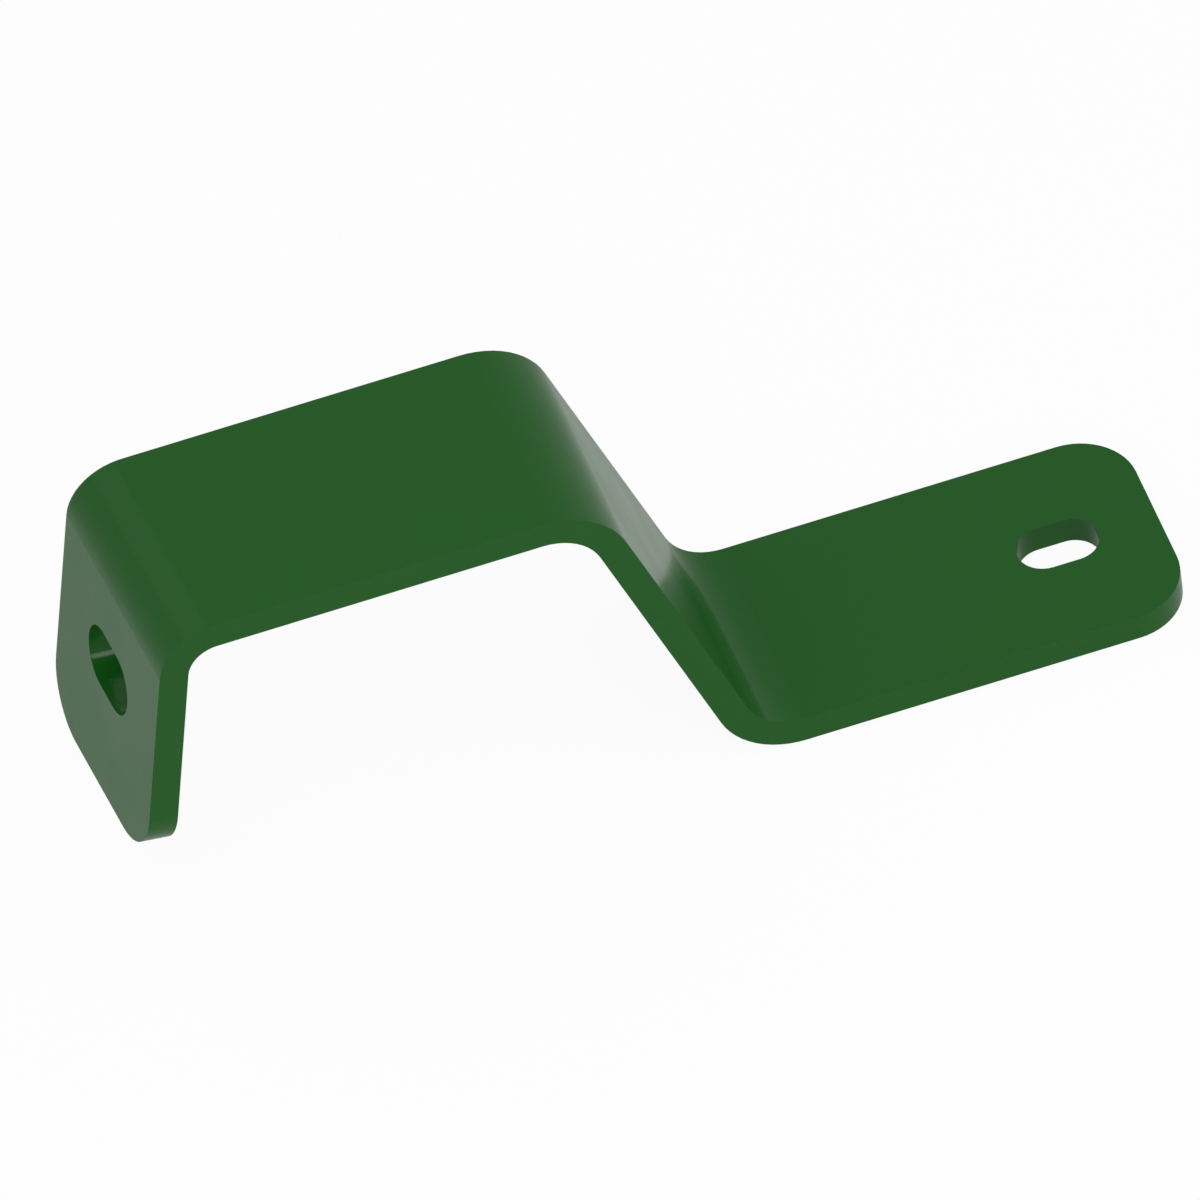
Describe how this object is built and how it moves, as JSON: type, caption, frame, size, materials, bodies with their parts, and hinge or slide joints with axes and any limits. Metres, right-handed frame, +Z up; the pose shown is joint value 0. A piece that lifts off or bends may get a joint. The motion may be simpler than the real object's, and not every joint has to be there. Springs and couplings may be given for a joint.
{
  "type": "shield bracket",
  "caption": "Folded flat-bar bracket: slotted foot, steep riser, level top plate, and a slotted end flange that leans out on a slightly skewed crease.",
  "frame": {"origin": "where the axis of the foot's slot meets the underside of the foot", "axes": "+X along the bar, towards the foot's free end; +Z up, square to the foot; +Y across the bar"},
  "size_m": [0.2197, 0.05, 0.0815],
  "materials": {
    "green_paint": "smooth dark green powder coat with a soft gloss"
  },
  "bodies": {
    "root": {"bracket": "green_paint"}
  },
  "joints": []
}
